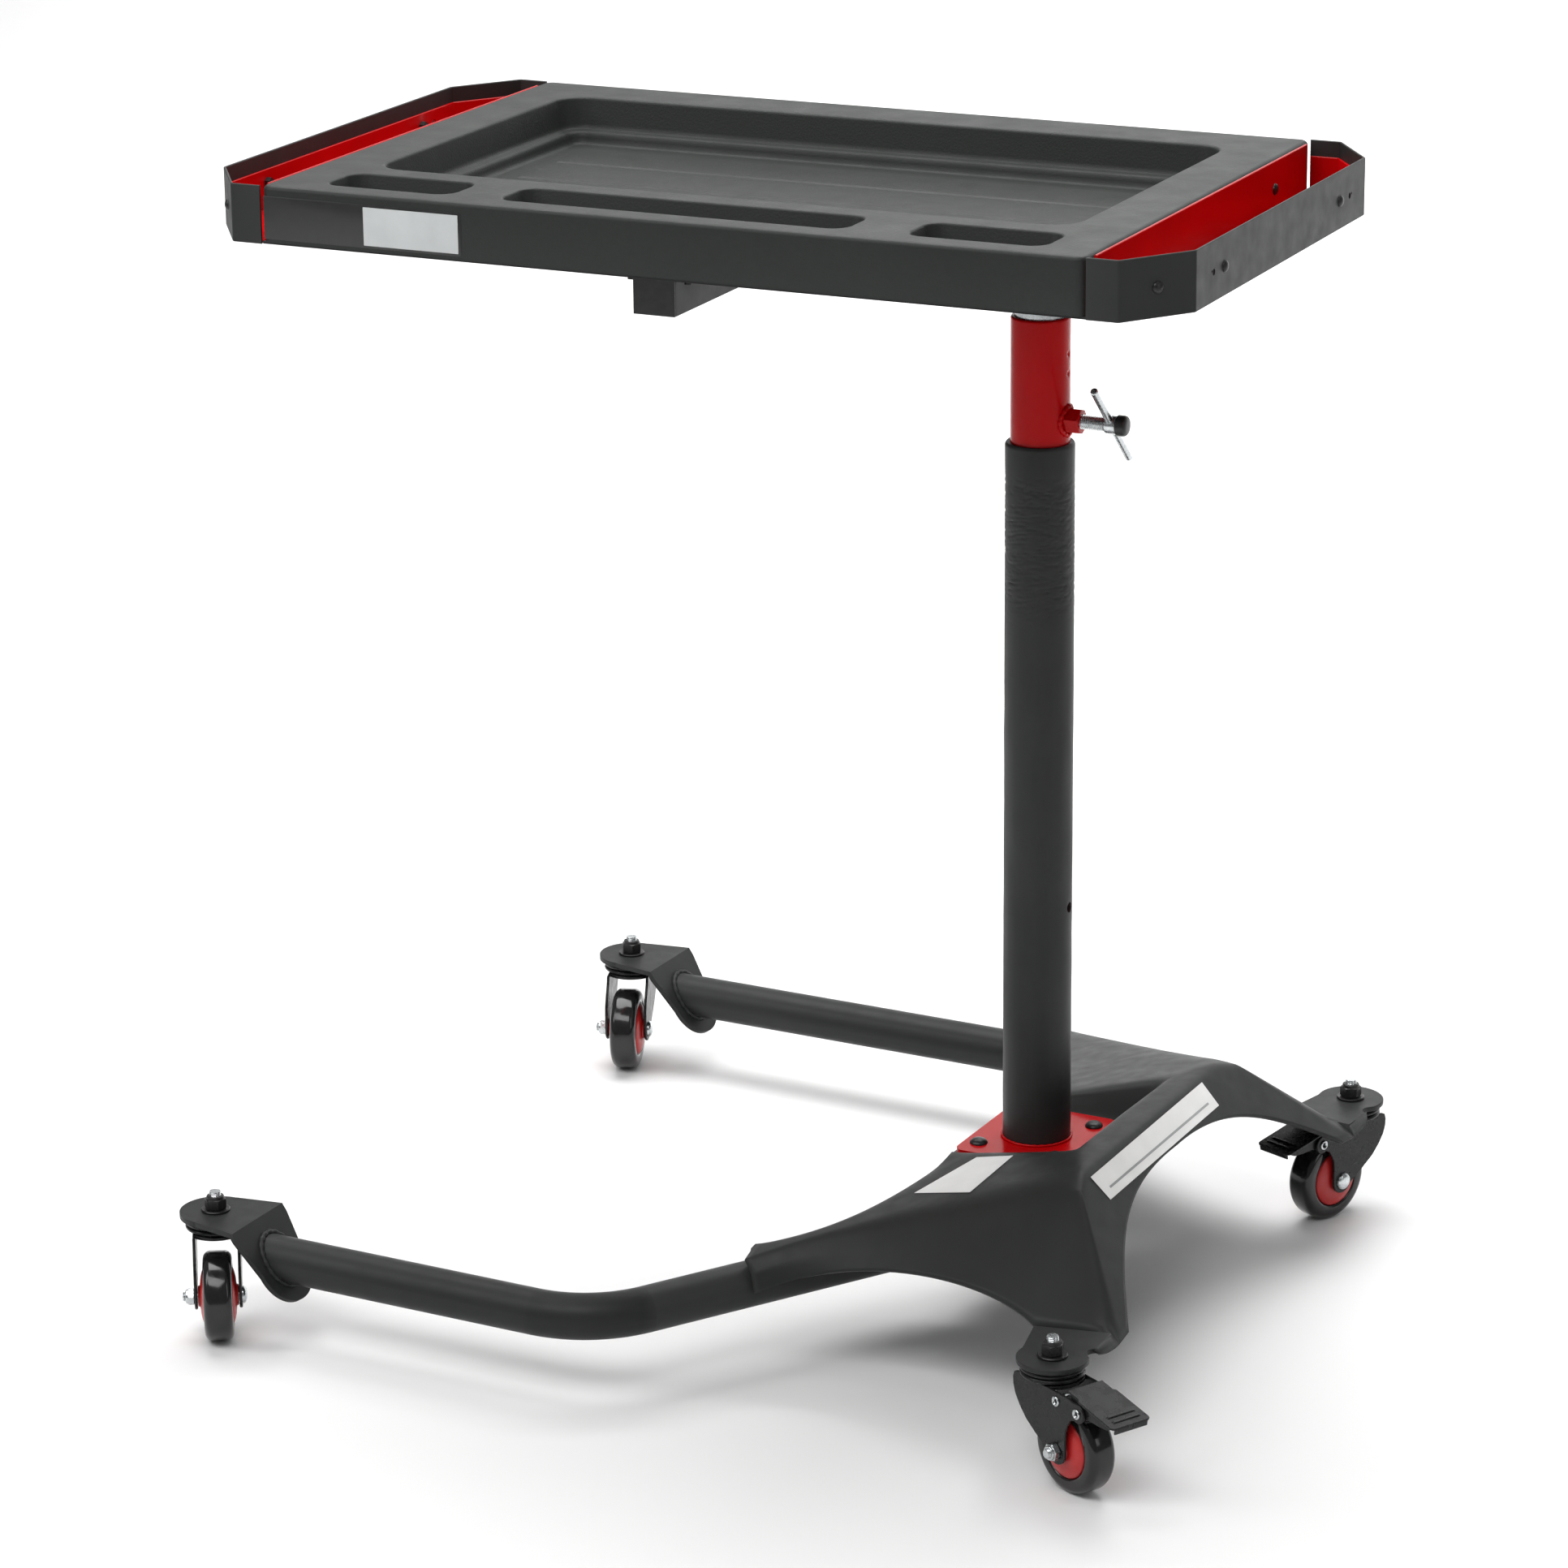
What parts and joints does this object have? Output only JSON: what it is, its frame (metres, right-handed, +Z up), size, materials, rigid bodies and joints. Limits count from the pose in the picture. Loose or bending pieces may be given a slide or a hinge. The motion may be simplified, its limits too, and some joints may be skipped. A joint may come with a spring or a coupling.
{
  "type": "rolling tear-down work table",
  "caption": "Height-adjustable rolling work table: a cantilevered tear-down tray with end trays on a telescoping, swivelling mast and a pressed steel base on casters.",
  "frame": {"origin": "on the floor, on the axis of the mast", "axes": "+Z up the mast; +X from the far end of the table towards the mast end; -Y towards the side with the three pockets"},
  "size_m": [0.8712, 0.7966, 0.951],
  "materials": {
    "black_powder_coat": "fine satin powder coat",
    "red_paint": "gloss red paint",
    "sleeve_rubber": "matte soft sleeve with fine creases",
    "black_fasteners": "black oxide",
    "zinc": "bright zinc plate",
    "brass": "turned",
    "guide_plastic": "moulded nylon",
    "cap_plastic": "moulded",
    "tray_plastic": "fine leather grain",
    "caster_black": "semi-gloss black",
    "wheel_tread": "polished polyurethane",
    "hub_red": "moulded red"
  },
  "bodies": {
    "base": {"base_cover": "black_powder_coat", "center_frame": "black_powder_coat", "leg_tube_front": "black_powder_coat", "leg_tube_rear": "black_powder_coat", "leg_bracket_front": "black_powder_coat", "leg_bracket_rear": "black_powder_coat", "mast_plate": "red_paint", "mast_post": "red_paint", "mast_sleeve": "sleeve_rubber", "clamp_nut": "red_paint", "plate_bolts": "black_fasteners", "stem_nuts": "black_fasteners", "caster_fl_stem": "zinc", "caster_rl_stem": "zinc", "caster_fr_stem": "zinc", "caster_rr_stem": "zinc"},
    "clamp_pad": {"clamp_pad": "brass"},
    "clamp_screw": {"clamp_screw": "zinc", "clamp_cap": "cap_plastic", "tommy_bar": "zinc"},
    "column_guide": {"column_guide": "guide_plastic"},
    "table": {"column_tube": "zinc", "column_head_plate": "black_powder_coat", "support_beam": "black_powder_coat", "cross_tube": "black_powder_coat", "tube_caps": "cap_plastic", "mounting_plates": "black_powder_coat", "support_bolts": "black_fasteners", "table_pan": "black_powder_coat", "end_pan_left": "red_paint", "end_pan_right": "red_paint", "tray": "tray_plastic", "rail_left": "black_powder_coat", "rail_right": "black_powder_coat", "rail_screws": "black_fasteners", "end_wall_bolts": "black_fasteners"},
    "caster_fl": {"caster_fl_fork": "caster_black", "caster_fl_axle": "zinc"},
    "wheel_fl": {"caster_fl_tyre": "wheel_tread", "caster_fl_hub": "hub_red"},
    "caster_rl": {"caster_rl_fork": "caster_black", "caster_rl_axle": "zinc"},
    "wheel_rl": {"caster_rl_tyre": "wheel_tread", "caster_rl_hub": "hub_red"},
    "caster_fr": {"caster_fr_fork": "caster_black", "caster_fr_axle": "zinc", "caster_fr_pins": "zinc"},
    "wheel_fr": {"caster_fr_tyre": "wheel_tread", "caster_fr_hub": "hub_red"},
    "pedal_fr": {"caster_fr_pedal": "caster_black"},
    "shoe_fr": {"caster_fr_shoe": "zinc"},
    "caster_rr": {"caster_rr_fork": "caster_black", "caster_rr_axle": "zinc", "caster_rr_pins": "zinc"},
    "wheel_rr": {"caster_rr_tyre": "wheel_tread", "caster_rr_hub": "hub_red"},
    "pedal_rr": {"caster_rr_pedal": "caster_black"},
    "shoe_rr": {"caster_rr_shoe": "zinc"}
  },
  "joints": [
    {"name": "column_height", "type": "slide", "parent": "base", "child": "column_guide", "axis": [0, 0, 1], "range_m": [0, 0.35]},
    {"name": "table_swivel", "type": "hinge", "parent": "column_guide", "child": "table", "pos_m": [0, 0, 0.6], "axis": [0, 0, 1], "continuous": true},
    {"name": "screw_travel", "type": "slide", "parent": "base", "child": "clamp_pad", "axis": [1, 0, 0], "range_m": [0, 0.0035]},
    {"name": "screw_turn", "type": "hinge", "parent": "clamp_pad", "child": "clamp_screw", "pos_m": [0.05, 0, 0.761], "axis": [1, 0, 0], "range_deg": [0, 720]},
    {"name": "swivel_fl", "type": "hinge", "parent": "base", "child": "caster_fl", "pos_m": [-0.60268, -0.32043, 0.09], "axis": [0, 0, 1], "continuous": true},
    {"name": "roll_fl", "type": "hinge", "parent": "caster_fl", "child": "wheel_fl", "pos_m": [-0.58776, -0.34611, 0.0375], "axis": [0.8647, 0.5023, 0], "continuous": true},
    {"name": "swivel_rl", "type": "hinge", "parent": "base", "child": "caster_rl", "pos_m": [-0.56787, 0.3787, 0.09], "axis": [0, 0, 1], "continuous": true},
    {"name": "roll_rl", "type": "hinge", "parent": "caster_rl", "child": "wheel_rl", "pos_m": [-0.55911, 0.35032, 0.0375], "axis": [0.9555, 0.2949, 0], "continuous": true},
    {"name": "swivel_fr", "type": "hinge", "parent": "base", "child": "caster_fr", "pos_m": [0.14264, -0.31248, 0.09], "axis": [0, 0, 1], "continuous": true},
    {"name": "roll_fr", "type": "hinge", "parent": "caster_fr", "child": "wheel_fr", "pos_m": [0.1684, -0.32726, 0.0375], "axis": [0.4977, 0.8673, 0], "continuous": true},
    {"name": "brake_pedal_fr", "type": "hinge", "parent": "caster_fr", "child": "pedal_fr", "pos_m": [0.19078, -0.3401, 0.078], "axis": [0.4977, 0.8673, 0], "range_deg": [0, 12]},
    {"name": "brake_shoe_fr", "type": "hinge", "parent": "caster_fr", "child": "shoe_fr", "pos_m": [0.16866, -0.32741, 0.0796], "axis": [0.4977, 0.8673, 0], "range_deg": [0, 3]},
    {"name": "swivel_rr", "type": "hinge", "parent": "base", "child": "caster_rr", "pos_m": [0.17297, 0.29677, 0.09], "axis": [0, 0, 1], "continuous": true},
    {"name": "roll_rr", "type": "hinge", "parent": "caster_rr", "child": "wheel_rr", "pos_m": [0.16144, 0.2694, 0.0375], "axis": [0.9215, -0.3883, 0], "continuous": true},
    {"name": "brake_pedal_rr", "type": "hinge", "parent": "caster_rr", "child": "pedal_rr", "pos_m": [0.15142, 0.24562, 0.078], "axis": [0.9215, -0.3883, 0], "range_deg": [0, 12]},
    {"name": "brake_shoe_rr", "type": "hinge", "parent": "caster_rr", "child": "shoe_rr", "pos_m": [0.16132, 0.26912, 0.0796], "axis": [0.9215, -0.3883, 0], "range_deg": [0, 3]}
  ],
  "couplings": [
    {"joint": "screw_travel", "follows": "screw_turn", "m_per_rad": 0.00027852},
    {"joint": "brake_shoe_fr", "follows": "brake_pedal_fr", "ratio": 0.25},
    {"joint": "brake_shoe_rr", "follows": "brake_pedal_rr", "ratio": 0.25}
  ]
}
